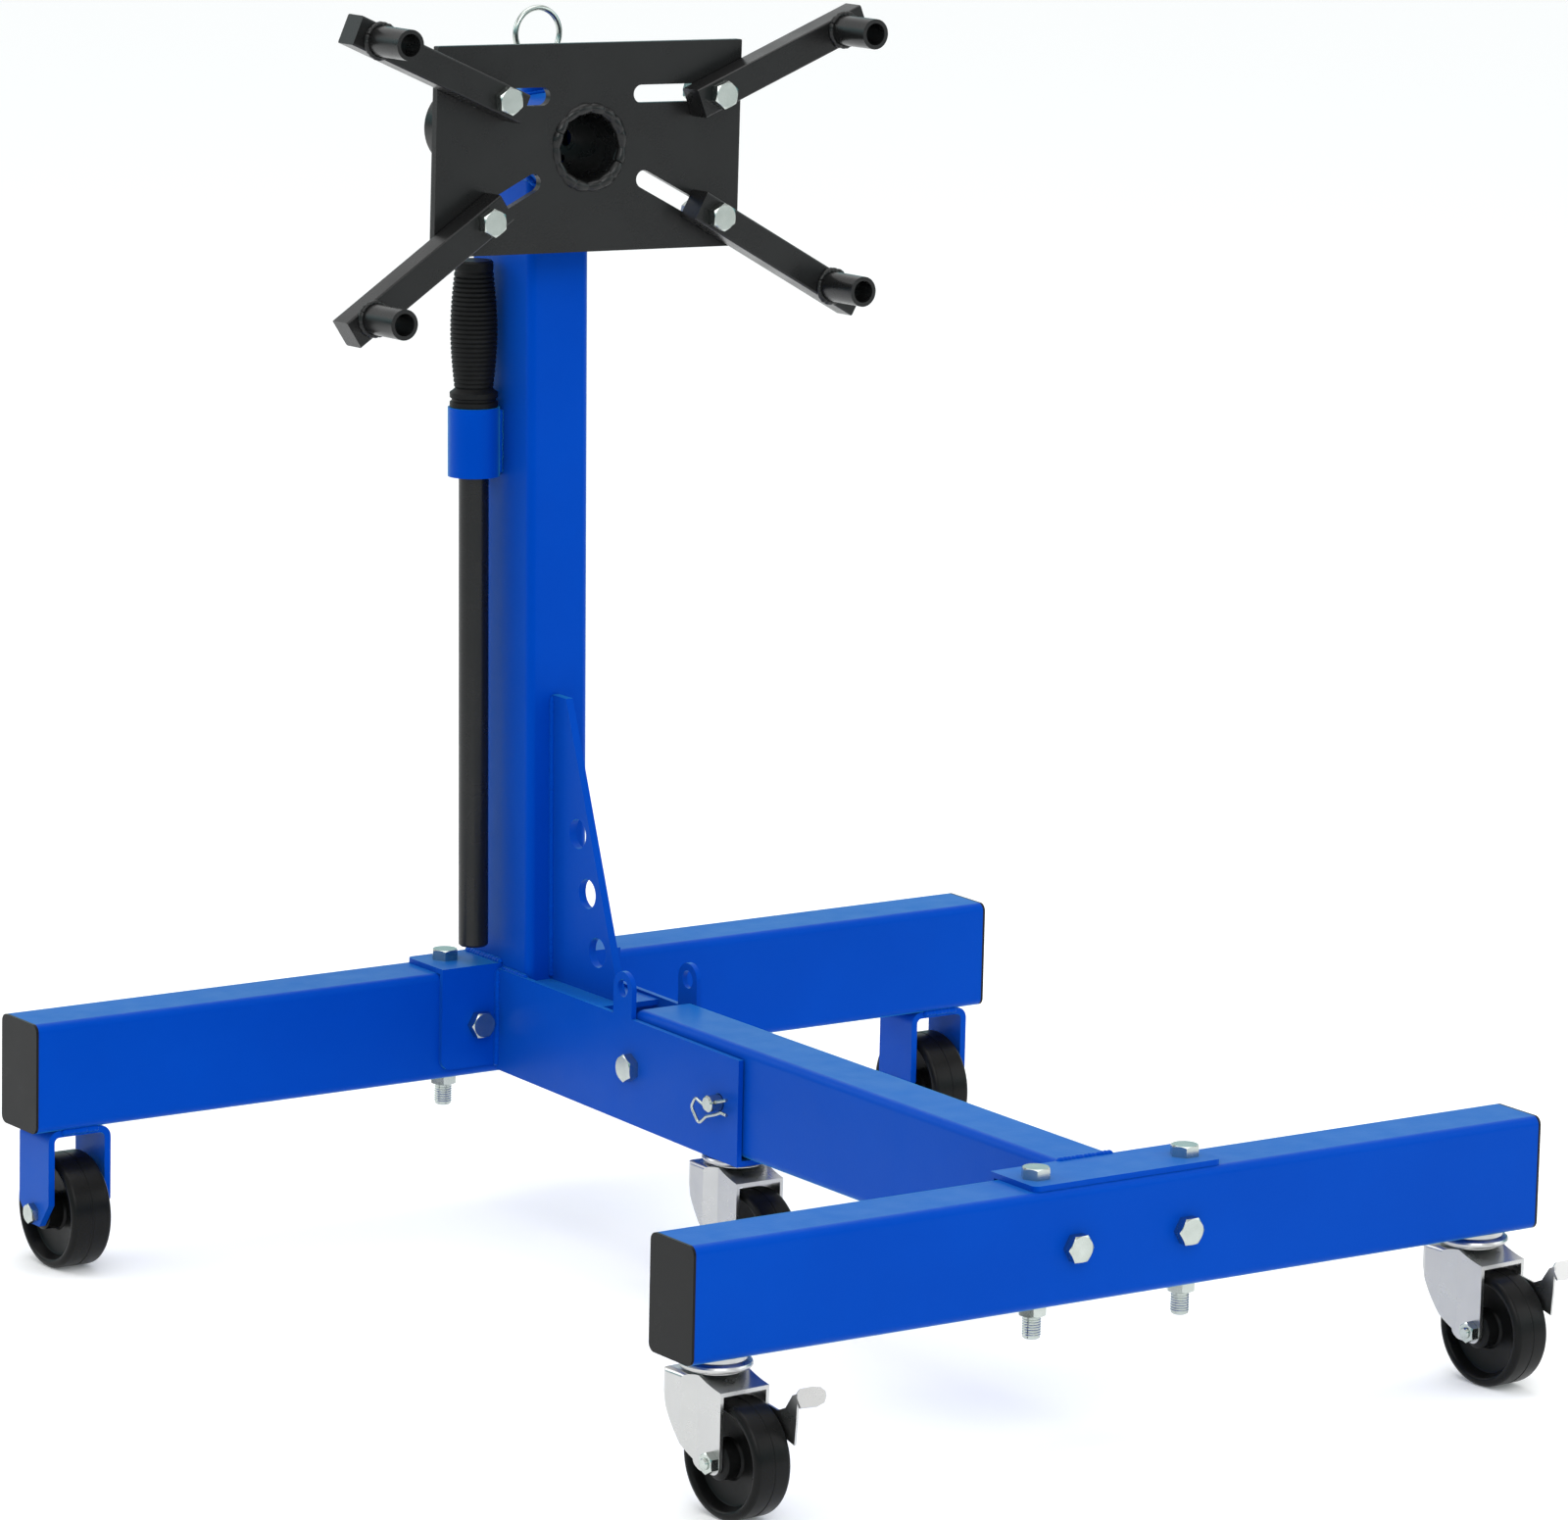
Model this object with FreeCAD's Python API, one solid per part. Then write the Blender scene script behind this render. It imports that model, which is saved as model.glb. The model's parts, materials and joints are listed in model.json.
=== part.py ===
import FreeCAD, Part
import math
import os

from FreeCAD import Vector

os.makedirs("parts", exist_ok=True)

# Folding engine stand.  Units are millimetres and +Z is up, with Z = 0 on the floor.
# X runs across the stand (+X is its right), and the front leg points along -Y.
# The model is laid out with Y = 0 on the centre line of the rear cross tube, and
# every part is moved by centre_shift when it is written, so that the origin is on
# the floor under the middle of the whole stand.
centre_shift = 359.855

# ---------------------------------------------------------------- driving dimensions
tube_width = 50.0          # frame tube, narrow side
tube_height = 80.0         # frame tube, wide side
tube_wall = 3.0
tube_corner = 6.0
tube_top = 185.3           # top of both cross tubes above the floor
rear_cross_length = 828.0
front_cross_length = 700.0
cross_spacing = 740.0      # rear to front cross tube centres
cap_flange = 2.0
cap_plug = 16.0

plate = 4.0                # bracket and channel plate
channel_outer = 60.2
channel_front = -344.0
channel_rear_top = tube_top
channel_front_top = tube_top - 3.8
channel_rear_bottom = tube_top - 76.1
channel_front_bottom = tube_top - 81.4
web_top = tube_top - 3.4   # cross web under the post, between the side plates
web_front = -158.0
belly_rear = -266.0        # bottom web under the front end of the channel

pivot_y = -207.4
pivot_z = tube_top - 37.3
lock_y = -320.0
lock_z = tube_top - 38.9
ear_y = -195.0             # hole that the lock pin holds the folded leg by
ear_z = tube_top + 18.7
ear_radius = 12.0
lock_pin_radius = 6.0
pin_hole_radius = 6.5

leg_top = tube_top + 4.0
leg_end_y = -711.0

post_width = 52.0
post_depth = 80.0
post_y = -24.2             # post centre line where it crosses Z = tube_top
post_lean = 1.43           # degrees, the head leans back over the rear tube
head_height = 610.2        # head axis above tube_top, along the post
head_tube_radius = 30.0
head_tube_bore = 25.0
head_tube_rear = 97.0
housing_radius = 35.0
housing_front = -68.5
housing_rear = 42.0
running_gap = 0.05
index_y = -9.0
index_radius = 6.0
index_lift = 6.0           # the pin stands this far out of its pushed-in place
index_hole_radius = 6.5
index_positions = 8
ring_mean = 18.8           # pull ring, wire centre line radius
ring_wire = 2.1
bar_hole_radius = 12.0
bar_hole_y = 68.0

face_front = -78.0         # front of the face plate, from the post centre line
face_thickness = 6.0
face_width = 260.0
face_height = 150.0
face_roll = 1.43           # degrees, the right side hangs lower
slot_radius = 6.5

arm_width = 22.0
arm_depth = 20.0
arm_reach = 115.0          # arm bolt to sleeve
arm_tail = 17.7
arm_sleeve_radius = 11.0
arm_bore_radius = 8.0
arm_sleeve_length = 40.0
gap = 0.3                  # daylight between pieces that move past each other

# One arm per row: bolt position and slot ends in the face plate's own X and Z,
# measured from the head axis, the arm's direction in degrees, and how far its end
# runs on past the sleeve.
arms = {
    "top_left": {"bolt": (-84.8, 37.5), "slot": ((-41.0, 37.5), (-96.0, 37.5)),
                 "angle": 157.3, "nose": 20.0},
    "top_right": {"bolt": (99.5, 37.5), "slot": ((43.5, 37.5), (112.0, 37.5)),
                  "angle": 22.6, "nose": 20.0},
    "bottom_left": {"bolt": (-96.3, -48.7), "slot": ((-47.4, -24.2), (-112.0, -56.6)),
                    "angle": 214.5, "nose": 20.0},
    "bottom_right": {"bolt": (100.4, -50.8), "slot": ((47.4, -24.2), (112.0, -56.6)),
                     "angle": -28.3, "nose": 27.0},
}

bar_radius = 11.0
bar_x = -45.0
bar_y = 5.5
bar_bottom = 17.0
sleeve_radius = 19.0
sleeve_bottom = 365.7
sleeve_top = 416.3
grip_top = 523.5

wheel_radius = 40.0        # swivel wheels
wheel_width = 29.0
rear_wheel_radius = 41.5
rear_wheel_width = 32.0
tread_round = 4.0
axle_radius = 4.0
rear_fork_x = 378.0
rear_fork_width = 51.0
rear_fork_depth = 42.0
rear_fork_plate = 5.0
rear_hub_length = 40.0
bush_radius = 6.0

caster_x = 316.0
middle_caster_y = -299.0
caster_trail = 24.0
caster_turn = 4.0          # degrees, how far the front casters stand turned
race_radius = 24.6
fork_width = 40.0          # across the flat side plates at the axle
fork_shoulder = 24.5       # half width behind the bend lines, round the race
fork_back = 26.0
fork_front = -31.0
fork_plate = 2.5
fork_top = tube_top - 91.0
swivel_hub_length = 33.6
brake_pivot_y = -20.0
brake_pivot_z = 72.0
rivet_radius = 3.0

# M12 frame bolts and M8 axle bolts: across flats, head height, nut height
m12_flats, m12_head, m12_nut, m12_radius = 18.0, 7.5, 10.0, 6.0
m8_flats, m8_head, m8_nut = 13.0, 5.3, 6.5
bolt_hole_radius = 6.5

tube_bottom = tube_top - tube_height
front_y = -cross_spacing
half_depth = tube_width / 2
AXIS = {"x": Vector(1, 0, 0), "y": Vector(0, 1, 0), "z": Vector(0, 0, 1)}


# ---------------------------------------------------------------- basic shapes
def box(x0, x1, y0, y1, z0, z1):
    return Part.makeBox(x1 - x0, y1 - y0, z1 - z0, Vector(x0, y0, z0))


def rod(radius, start, axis, length):
    return Part.makeCylinder(radius, length, Vector(*start), AXIS[axis])


def pipe(outer, inner, start, axis, length):
    return rod(outer, start, axis, length).cut(rod(inner, start, axis, length))


def prism(points, axis, start, length):
    """Straight-sided outline in the plane across `axis`, extruded along it."""
    place = {"x": lambda a, b: Vector(start, a, b), "y": lambda a, b: Vector(a, start, b),
             "z": lambda a, b: Vector(a, b, start)}[axis]
    corners = [place(a, b) for a, b in points]
    face = Part.Face(Part.makePolygon(corners + [corners[0]]))
    return face.extrude(AXIS[axis] * length)


def rounded_outline(width, height, radius, axis, start, length, centre=(0.0, 0.0)):
    """Rounded rectangle bar: width along the first cross axis, height along the second."""
    a, b = centre
    block = {"x": lambda: box(start, start + length, a - width / 2, a + width / 2,
                              b - height / 2, b + height / 2),
             "y": lambda: box(a - width / 2, a + width / 2, start, start + length,
                              b - height / 2, b + height / 2),
             "z": lambda: box(a - width / 2, a + width / 2, b - height / 2, b + height / 2,
                              start, start + length)}[axis]()
    along = AXIS[axis]
    edges = [edge for edge in block.Edges
             if abs(edge.tangentAt(edge.FirstParameter).dot(along)) > 0.99]
    return block.makeFillet(radius, edges)


def square_tube(width, height, axis, start, length, centre):
    outer = rounded_outline(width, height, tube_corner, axis, start, length, centre)
    inner = rounded_outline(width - 2 * tube_wall, height - 2 * tube_wall,
                            tube_corner - tube_wall, axis, start, length, centre)
    return outer.cut(inner)


def aim(shape, point, direction):
    """Place a shape made on +Z so that it starts at `point` and runs along `direction`."""
    shape.Placement = FreeCAD.Placement(
        Vector(*point), FreeCAD.Rotation(Vector(0, 0, 1), Vector(*direction)))
    return shape


def hexagon(flats, height):
    """Hexagonal prism on +Z with its far corners turned to a 30 degree cone."""
    corner = flats / math.sqrt(3)
    ring = [(corner * math.cos(math.radians(60 * i)), corner * math.sin(math.radians(60 * i)))
            for i in range(6)]
    tip_radius = flats * 0.485
    cone = Part.makeCone(tip_radius + height * math.sqrt(3), tip_radius, height)
    return prism(ring, "z", 0, height).common(cone)


def hex_bolt(point, out, length, radius, flats, head):
    """Bolt seated at `point`: the head stands along `out`, the shank runs the other way."""
    shank = Part.makeCylinder(radius, length, Vector(0, 0, -length))
    shank = shank.makeChamfer(1.0, [e for e in shank.Edges if abs(e.BoundBox.ZMax + length) < 1e-6
                                    and e.BoundBox.ZLength < 1e-6])
    return aim(hexagon(flats, head).fuse(shank), point, out)


def hex_nut(point, out, radius, flats, height):
    """Nut seated at `point`, standing along `out`, bored to clear its bolt's shank."""
    bore = Part.makeCylinder(radius, height + 2, Vector(0, 0, -1))
    return aim(hexagon(flats, height).cut(bore), point, out)


# ---------------------------------------------------------------- frames of reference
def lean(shape):
    """Post frame to stand frame: X is shared, Z runs up the leaning post."""
    place = FreeCAD.Placement(Vector(0, post_y, tube_top),
                              FreeCAD.Rotation(Vector(1, 0, 0), -post_lean))
    shape = shape.copy()
    shape.Placement = place.multiply(shape.Placement)
    return shape


def on_face(shape):
    """Face-plate frame, centred on the head axis with Y = 0 on the plate's front."""
    place = FreeCAD.Placement(Vector(0, face_front, head_height),
                              FreeCAD.Rotation(Vector(0, 1, 0), face_roll))
    shape = shape.copy()
    shape.Placement = place.multiply(shape.Placement)
    return lean(shape)


def head_rod(radius, start_y, length):
    return rod(radius, (0, start_y, head_height), "y", length)


# ---------------------------------------------------------------- cross tubes and caps
def cross_tube(length, centre_y, bolt_xs, stem_xs, stem_y):
    tube = square_tube(tube_width, tube_height, "x", -length / 2, length,
                       (centre_y, tube_top - tube_height / 2))
    middle = tube_top - tube_height / 2
    vertical_xs, horizontal_xs, vertical_y = bolt_xs
    for x in vertical_xs:
        tube = tube.cut(rod(bolt_hole_radius, (x, vertical_y, tube_bottom - 5), "z", tube_height + 10))
    for x in horizontal_xs:
        tube = tube.cut(rod(bolt_hole_radius, (x, centre_y - half_depth - 5, middle), "y",
                            tube_width + 10))
    for x in stem_xs:
        tube = tube.cut(rod(bolt_hole_radius, (x, stem_y, tube_bottom - 5), "z", 15))
    return tube


def end_caps(length, centre_y):
    caps = []
    middle = tube_top - tube_height / 2
    for side in (-1, 1):
        face_x = side * length / 2
        flange = rounded_outline(tube_width, tube_height, tube_corner, "x",
                                 min(face_x, face_x + side * cap_flange), cap_flange,
                                 (centre_y, middle))
        plug_start = min(face_x, face_x - side * cap_plug)
        inset = 2 * tube_wall + 0.4
        plug = rounded_outline(tube_width - inset, tube_height - inset, tube_corner - tube_wall,
                               "x", plug_start, cap_plug, (centre_y, middle))
        hollow = rounded_outline(tube_width - inset - 5, tube_height - inset - 5, 1.5, "x",
                                 plug_start - side * 1.5, cap_plug, (centre_y, middle))
        caps.append(flange.fuse(plug.cut(hollow)))
    return caps


# ---------------------------------------------------------------- angle brackets
bracket_half = 78.0
rear_bolts = ((-56.0, 56.0), (-45.5, 45.5), 3.0)
front_bolts = ((-62.0, 62.0), (-46.0, 46.0), front_y)
bracket_depth = 72.0
bolt_z = tube_top - tube_height / 2


def angle_bracket(top_y0, top_y1, flange_y0, flange_y1, bolts):
    """Top flange on the cross tube with one flange turned down its side."""
    top = box(-bracket_half, bracket_half, top_y0, top_y1, tube_top, tube_top + plate)
    upright = [edge for edge in top.Edges if edge.BoundBox.ZLength > plate * 0.9]
    top = top.makeFillet(5.0, [e for e in upright if abs(e.BoundBox.YMin - flange_y0) > plate + 1])
    side = box(-bracket_half, bracket_half, flange_y0, flange_y1, tube_top - bracket_depth,
               tube_top + plate)
    lower = [e for e in side.Edges if e.BoundBox.YLength > plate * 0.9
             and e.BoundBox.ZMax < tube_top - bracket_depth + 1]
    bracket = top.fuse(side.makeFillet(8.0, lower)).removeSplitter()
    vertical_xs, horizontal_xs, vertical_y = bolts
    for x in vertical_xs:
        bracket = bracket.cut(rod(bolt_hole_radius, (x, vertical_y, tube_top - 5), "z", 15))
    for x in horizontal_xs:
        bracket = bracket.cut(rod(bolt_hole_radius, (x, flange_y0 - 5, bolt_z), "y", 15))
    return bracket


def bracket_fasteners(bolts, head_y, grip_length, nut_y):
    """Two bolts down through the tube and two level ones through it, and their nuts."""
    vertical_xs, horizontal_xs, vertical_y = bolts
    screws, nuts = [], []
    for x in vertical_xs:
        screws.append(hex_bolt((x, vertical_y, tube_top + plate), (0, 0, 1), 110.0,
                               m12_radius, m12_flats, m12_head))
        nuts.append(hex_nut((x, vertical_y, tube_bottom), (0, 0, -1), m12_radius, m12_flats, m12_nut))
    for x in horizontal_xs:
        screws.append(hex_bolt((x, head_y, bolt_z), (0, -1, 0), grip_length + 14.0,
                               m12_radius, m12_flats, m12_head))
        nuts.append(hex_nut((x, nut_y, bolt_z), (0, 1, 0), m12_radius, m12_flats, m12_nut))
    return screws, nuts


# ---------------------------------------------------------------- channel, ears and leg
def hinge_channel():
    """Side plates with the folding-lock ears, a web under the post and a belly plate."""
    inner = channel_outer / 2 - plate
    rear = -half_depth - plate
    front_drop = (channel_rear_top - channel_front_top) / (rear - channel_front)
    ear_base = channel_rear_top - (rear - ear_y) * front_drop
    outline = [(rear, channel_rear_bottom), (rear, channel_rear_top),
               (channel_front, channel_front_top), (channel_front, channel_front_bottom)]
    ear = [(ear_y - ear_radius, ear_base - 4), (ear_y - ear_radius, ear_z),
           (ear_y + ear_radius, ear_z), (ear_y + ear_radius, ear_base - 4)]
    shape = None
    for x in (-inner - plate, inner):
        side = prism(outline, "x", x, plate)
        side = side.fuse(prism(ear, "x", x, plate))
        side = side.fuse(rod(ear_radius, (x, ear_y, ear_z), "x", plate))
        shape = side if shape is None else shape.fuse(side)
    shape = shape.fuse(box(-inner, inner, web_front, rear, web_top - plate, web_top))
    belly_slope = (channel_front_bottom - channel_rear_bottom) / (channel_front - rear)
    belly_z = channel_front_bottom + belly_slope * (belly_rear - channel_front)
    belly = [(channel_front, channel_front_bottom), (belly_rear, belly_z),
             (belly_rear, belly_z + plate), (channel_front, channel_front_bottom + plate)]
    shape = shape.fuse(prism(belly, "x", -inner, 2 * inner)).removeSplitter()
    across = channel_outer + 10
    for y, z in ((pivot_y, pivot_z), (lock_y, lock_z), (ear_y, ear_z)):
        shape = shape.cut(rod(pin_hole_radius, (-across / 2, y, z), "x", across))
    return shape.cut(rod(axle_radius + 2, (0, middle_caster_y, 90), "z", 30))


def leg_tube():
    """Front leg: its rear end is cut back round the pivot so that it can swing up."""
    length = leg_end_y - pivot_y
    bottom = leg_top - tube_height
    tube = square_tube(tube_width, tube_height, "y", leg_end_y, -length + 30,
                       (0, leg_top - tube_height / 2))
    waste = [(pivot_y, leg_top + 1), (pivot_y + 26, pivot_z + 6), (pivot_y + 26, bottom + 22),
             (pivot_y + 8, bottom - 1), (pivot_y + 60, bottom - 1), (pivot_y + 60, leg_top + 1)]
    tube = tube.cut(prism(waste, "x", -40, 80))
    tube = tube.cut(rod(9.0, (-40, pivot_y, pivot_z), "x", 80))
    # The lock pin's hole runs on as a slot down to the underside, round the pivot.
    reach = math.hypot(lock_y - pivot_y, lock_z - pivot_z)
    ring = pipe(reach + pin_hole_radius, reach - pin_hole_radius, (-40, pivot_y, pivot_z), "x", 80)
    below = box(-40, 40, lock_y - 20, pivot_y, bottom - 1, lock_z)
    tube = tube.cut(ring.common(below))
    tube = tube.cut(rod(pin_hole_radius, (-40, lock_y, lock_z), "x", 80))
    # Hole that lines up with the ears when the leg stands folded.
    fold_y = pivot_y - (ear_z - pivot_z)
    fold_z = pivot_z + (ear_y - pivot_y)
    return tube.cut(rod(pin_hole_radius, (-40, fold_y, fold_z), "x", 80))


def lock_pin():
    left = -channel_outer / 2 - 11.0
    right = channel_outer / 2 + 5.0
    pin = rod(lock_pin_radius, (left, lock_y, lock_z), "x", right - left)
    pin = pin.makeChamfer(1.2, [e for e in pin.Edges if e.BoundBox.XLength < 1e-6])
    return pin.cut(aim(Part.makeCylinder(1.6, 20, Vector(0, 0, -10)), clip_centre, clip_direction))


clip_centre = (-channel_outer / 2 - 7.0, lock_y, lock_z)
clip_direction = (0, -0.95, 0.312)


def bent_wire(points, bends, radius):
    """Round wire in the YZ plane: straight runs joined by tangent bends."""
    places = [Vector(0, y, z) for y, z in points]
    edges, start = [], places[0]
    for before, corner, after, bend in zip(places, places[1:], places[2:], bends):
        back = (before - corner).normalize()
        onward = (after - corner).normalize()
        half_angle = back.getAngle(onward) / 2
        reach = bend / math.tan(half_angle)
        middle = (back + onward).normalize() * (bend / math.sin(half_angle) - bend)
        enter, leave = corner + back * reach, corner + onward * reach
        edges += [Part.makeLine(start, enter), Part.Arc(enter, corner + middle, leave).toShape()]
        start = leave
    path = Part.Wire(edges + [Part.makeLine(start, places[-1])])
    section = Part.Wire(Part.makeCircle(radius, places[0], places[1] - places[0]))
    return path.makePipeShell([section], True, True)


def r_clip():
    """Hairpin clip: a straight leg through the pin, an arched leg under it and a loop."""
    points = [(0, 21), (0, -9), (6.5, -18), (0.5, -25), (-12.5, -19), (-8.4, -8), (-8.4, 5),
              (-7.9, 11), (-10.5, 18)]
    clip = bent_wire(points, [5.0, 3.5, 3.5, 4.0, 3.0, 3.0, 2.0], 1.2)
    return aim(clip, clip_centre, clip_direction)


# ---------------------------------------------------------------- post and head housing
def post_tube():
    post = square_tube(post_width, post_depth, "z", -12, head_height - 10, (0, 0))
    post = lean(post.cut(head_rod(housing_radius, -80, 160)))
    floor_front = box(-60, 60, -120, -half_depth - plate, 100, web_top)
    floor_rear = box(-60, 60, -half_depth - plate, 120, 100, tube_top + plate)
    return post.cut(floor_front).cut(floor_rear)


def post_gusset():
    """Web plate welded up the front of the post, with three lightening holes."""
    thickness = 6.0
    face = math.tan(math.radians(post_lean))
    front = post_y - post_depth / 2 / math.cos(math.radians(post_lean))
    top = tube_top + 208.0
    profile = [(front + (web_top - tube_top) * face, web_top), (front + 208 * face, top),
               (front + 208 * face - 18.5, top), (-156.0, web_top)]
    gusset = prism(profile, "x", -thickness, thickness)
    for y, height in ((-96.0, 111.0), (-110.0, 69.0), (-124.6, 28.0)):
        gusset = gusset.cut(rod(11.0, (-20, y, tube_top + height), "x", 40))
    return gusset


def head_housing():
    length = housing_rear - housing_front
    housing = head_rod(housing_radius, housing_front, length)
    housing = housing.cut(head_rod(head_tube_radius + running_gap, housing_front - 1, length + 2))
    pin_hole = rod(index_radius + running_gap, (0, index_y, head_height), "z", 60)
    return lean(housing.cut(pin_hole))


def index_boss():
    base = head_height + housing_radius - 6
    boss = pipe(12.0, index_radius + running_gap, (0, index_y, base), "z", 19.0 - index_lift)
    return lean(boss.cut(head_rod(housing_radius, housing_front, 100)))


def index_pin():
    """Pin, collar and pull ring: pushed in, it drops into a hole of the rotating tube."""
    collar = head_height + housing_radius + 13 + gap
    tip = head_height + head_tube_radius + gap
    pin = rod(index_radius, (0, index_y, tip), "z", collar - tip + 10)
    pin = pin.makeChamfer(1.2, [e for e in pin.Edges if e.BoundBox.ZMax < tip + 0.01])
    shoulder = rod(9.0, (0, index_y, collar), "z", 4.0)
    ring_z = collar - gap + 9.4 + ring_mean
    ring = Part.makeTorus(ring_mean, ring_wire, Vector(0, index_y, ring_z), Vector(0, 1, 0))
    return lean(pin.fuse(shoulder).fuse(ring))


def handle_sleeve():
    outer = rod(sleeve_radius, (bar_x, bar_y, sleeve_bottom), "z", sleeve_top - sleeve_bottom)
    return lean(outer.cut(rod(bar_radius + running_gap, (bar_x, bar_y, sleeve_bottom - 1), "z",
                              sleeve_top - sleeve_bottom + 2)))


def handle_bar():
    bar = rod(bar_radius, (bar_x, bar_y, bar_bottom), "z", grip_top - 6 - bar_bottom)
    return lean(bar.makeChamfer(1.5, [e for e in bar.Edges if e.BoundBox.ZMax < bar_bottom + 0.01]))


def handle_grip():
    """Rubber grip: double flange at the foot, ribs along a swelling barrel, flat top."""
    foot = sleeve_top + gap
    height = grip_top - foot
    ribs = 25
    rib_start, rib_end = 14.0, height - 9.0
    pitch = (rib_end - rib_start) / ribs
    outline = [(bar_radius, foot), (17.6, foot), (17.6, foot + 3.5), (16.2, foot + 4.5),
               (16.2, foot + 6.0), (17.6, foot + 7.0), (17.6, foot + 10.5), (15.0, foot + 12.5)]
    for rib in range(ribs):
        level = rib_start + rib * pitch
        swell = 14.3 + 2.9 * math.sin(math.pi * (rib + 0.5) / ribs)
        outline += [(swell - 0.9, foot + level), (swell, foot + level + pitch * 0.3),
                    (swell, foot + level + pitch * 0.75)]
    outline += [(13.6, foot + rib_end + 1), (14.2, foot + rib_end + 2), (14.2, grip_top - 1.5),
                (12.8, grip_top), (0, grip_top), (0, grip_top - 6), (bar_radius, grip_top - 6)]
    corners = [Vector(bar_x + r, bar_y, z) for r, z in outline]
    face = Part.Face(Part.makePolygon(corners + [corners[0]]))
    return lean(face.revolve(Vector(bar_x, bar_y, 0), Vector(0, 0, 1), 360))


# ---------------------------------------------------------------- rotating head and arms
def head_tube():
    start = face_front + 3.0
    length = head_tube_rear - start
    tube = head_rod(head_tube_radius, start, length).cut(head_rod(head_tube_bore, start - 1, length + 2))
    for step in range(index_positions):
        hole = rod(index_hole_radius, (0, index_y, head_height), "z", 60)
        hole.rotate(Vector(0, 0, head_height), Vector(0, 1, 0), 360 * step / index_positions)
        tube = tube.cut(hole)
    bar_hole = rod(bar_hole_radius, (-60, bar_hole_y, head_height), "x", 120)
    return lean(tube.cut(bar_hole))


def slot_cutter(ends):
    """Round-ended slot through the face plate between two centres."""
    (x0, z0), (x1, z1) = ends
    length = math.hypot(x1 - x0, z1 - z0)
    cutter = rod(slot_radius, (0, -5, 0), "y", 20).fuse(rod(slot_radius, (length, -5, 0), "y", 20))
    cutter = cutter.fuse(box(0, length, -5, 15, -slot_radius, slot_radius))
    turn = -math.degrees(math.atan2(z1 - z0, x1 - x0))
    cutter.Placement = FreeCAD.Placement(Vector(x0, 0, z0), FreeCAD.Rotation(Vector(0, 1, 0), turn))
    return cutter


def face_plate():
    sheet = rounded_outline(face_width, face_height, 1.0, "y", 0, face_thickness)
    sheet = sheet.cut(rod(head_tube_radius, (0, -5, 0), "y", 20))
    for arm in arms.values():
        sheet = sheet.cut(slot_cutter(arm["slot"]))
    return on_face(sheet)


def arm_placement(arm):
    """Arm frame: X from bolt to sleeve, Y = 0 on the plate's front face."""
    x, z = arm["bolt"]
    return FreeCAD.Placement(Vector(x, 0, z), FreeCAD.Rotation(Vector(0, 1, 0), -arm["angle"]))


def arm_bar(arm):
    bar = box(-arm_tail, arm_reach + arm["nose"], -gap - arm_depth, -gap, -arm_width / 2, arm_width / 2)
    long_edges = [e for e in bar.Edges if e.BoundBox.XLength > 50]
    bar = bar.makeFillet(1.5, long_edges)
    bar = bar.cut(rod(bolt_hole_radius, (0, -40, 0), "y", 60))
    bar = bar.cut(rod(arm_bore_radius, (arm_reach, -40, 0), "y", 60))
    bar.Placement = arm_placement(arm)
    return on_face(bar)


def arm_sleeve(arm):
    start = -gap - arm_depth - arm_sleeve_length
    sleeve = pipe(arm_sleeve_radius, arm_bore_radius, (arm_reach, start, 0), "y", arm_sleeve_length)
    sleeve.Placement = arm_placement(arm)
    return on_face(sleeve)


def arm_bolt(arm):
    """Bolt through the arm and slot, and its nut behind the plate."""
    seat = -2 * gap - arm_depth
    length = 2 * gap + arm_depth + face_thickness + 16
    screw = hex_bolt((0, seat, 0), (0, -1, 0), length, m12_radius, m12_flats, m12_head)
    nut = hex_nut((0, face_thickness + gap, 0), (0, 1, 0), m12_radius, m12_flats, m12_nut)
    pieces = []
    for piece in (screw, nut):
        piece.Placement = arm_placement(arm).multiply(piece.Placement)
        pieces.append(on_face(piece))
    return pieces


# ---------------------------------------------------------------- wheels and casters
def wheel(radius, width, hub_length, bore):
    """Solid plastic wheel on X: rounded tread shoulders, dished sides and a hub."""
    half, hub, rim = width / 2, hub_length / 2, radius - tread_round
    shoulder = []
    for step in range(7):
        turn = math.radians(90 - 15 * step)
        shoulder.append((rim + tread_round * math.cos(turn),
                         half - tread_round + tread_round * math.sin(turn)))
    right = [(bore, hub), (13.0, hub), (14.0, half - 9), (rim - 5, half - 8), (rim - 1.5, half)]
    right += shoulder
    left = [(r, -x) for r, x in reversed(right)]
    corners = [Vector(x, 0, r) for r, x in right + left]
    face = Part.Face(Part.makePolygon(corners + [corners[0]]))
    return face.revolve(Vector(0, 0, 0), Vector(1, 0, 0), 360)


def rear_fork(side):
    """Bent strap welded under the cross tube, its legs cut to a point at the axle."""
    half = rear_fork_width / 2
    centre = side * rear_fork_x
    top = tube_bottom
    blank = box(centre - half, centre + half, -rear_fork_depth / 2, rear_fork_depth / 2, 33, top)
    bends = [e for e in blank.Edges if e.BoundBox.YLength > 30 and e.BoundBox.ZMin > top - 1]
    blank = blank.makeFillet(9.0, bends)
    inside = box(centre - half + rear_fork_plate, centre + half - rear_fork_plate, -40, 40, 0,
                 top - rear_fork_plate)
    bends = [e for e in inside.Edges if e.BoundBox.YLength > 30 and e.BoundBox.ZMin > top - 10]
    fork = blank.cut(inside.makeFillet(4.0, bends))
    for way, height in ((-1, 51.0), (1, 47.5)):
        waste = [(way * 7, 32), (way * 21.1, height), (way * 40, height), (way * 40, 32)]
        fork = fork.cut(prism(waste, "x", centre - 40, 80))
    return fork.cut(rod(axle_radius + 0.2, (centre - 40, 0, rear_wheel_radius), "x", 80))


def curve(*points):
    """Arc through three (y, z) points in the plane X = 0."""
    return Part.Arc(*[Vector(0, y, z) for y, z in points]).toShape()


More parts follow.
